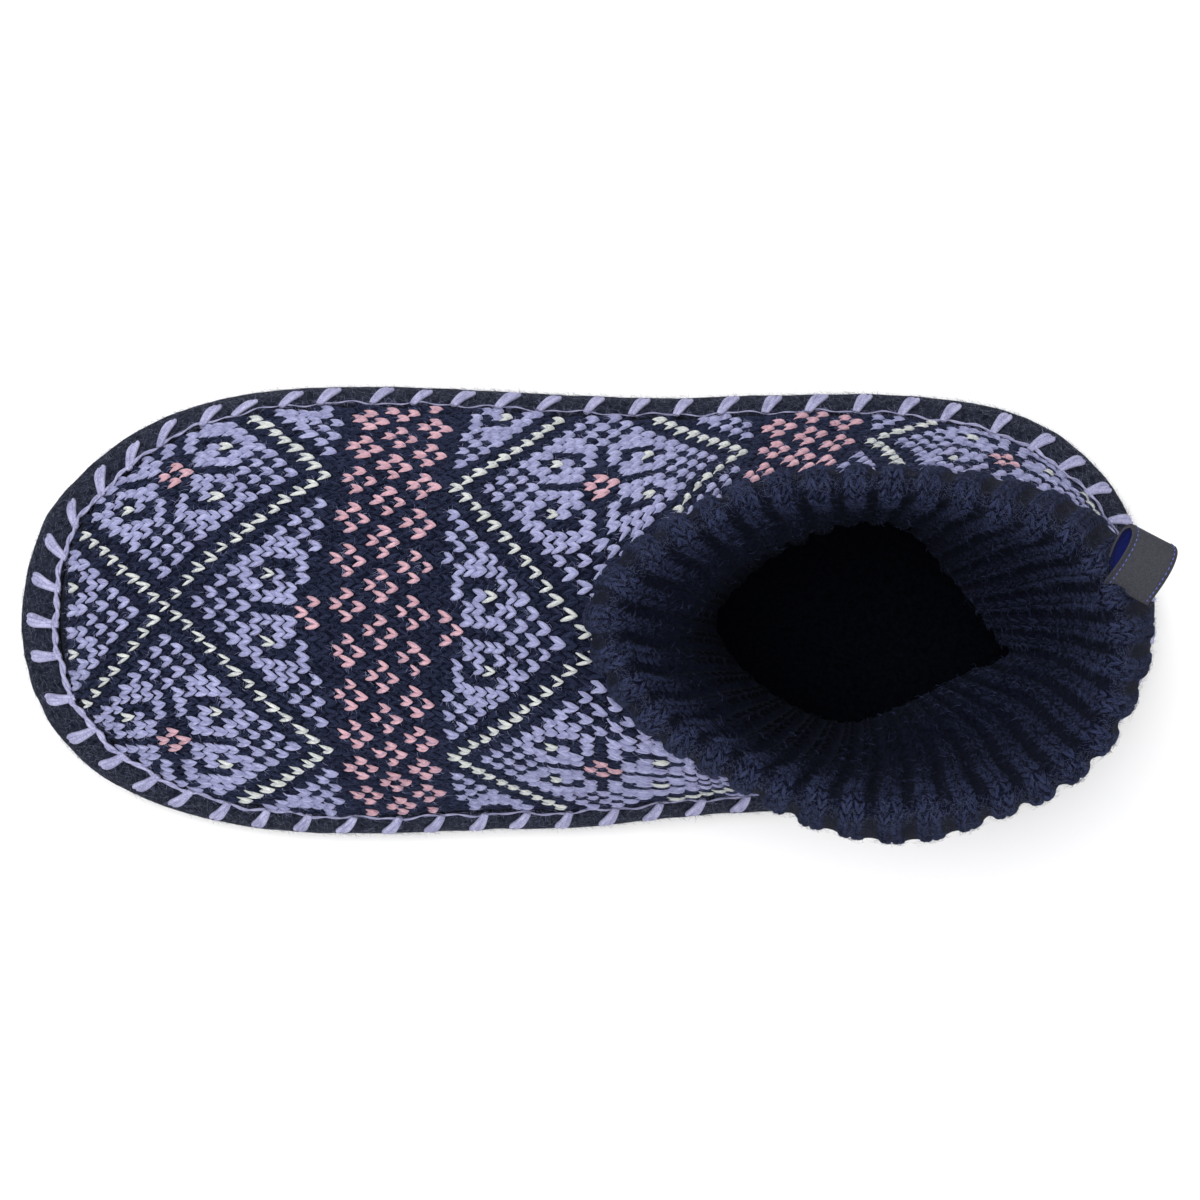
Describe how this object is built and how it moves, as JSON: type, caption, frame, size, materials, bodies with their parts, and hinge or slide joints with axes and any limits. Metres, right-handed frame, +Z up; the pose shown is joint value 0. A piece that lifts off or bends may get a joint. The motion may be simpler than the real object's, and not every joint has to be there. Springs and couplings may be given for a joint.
{
  "type": "knitted slipper",
  "caption": "Low indoor slipper with a patterned knit upper, a folded ribbed ankle collar and a soft felt sole turned up around the foot.",
  "frame": {"origin": "on the floor plane under the middle of the slipper's length, on the sole's middle line", "axes": "+X to the toe, +Y to the outer side of the foot, +Z up"},
  "size_m": [0.25, 0.0987, 0.1106],
  "materials": {
    "felt_sole": "navy felt, dull and faintly hairy",
    "insole_felt": "dark navy felt",
    "patterned_knit": "stocking-stitch wool knit in navy, lavender, off-white and pink",
    "ribbed_knit": "navy rib knit, soft and fuzzy",
    "tape": "plain grey-navy woven tape"
  },
  "bodies": {
    "root": {"sole": "felt_sole", "insole": "insole_felt", "upper": "patterned_knit", "cuff": "ribbed_knit", "heel_tab": "tape"}
  },
  "joints": []
}
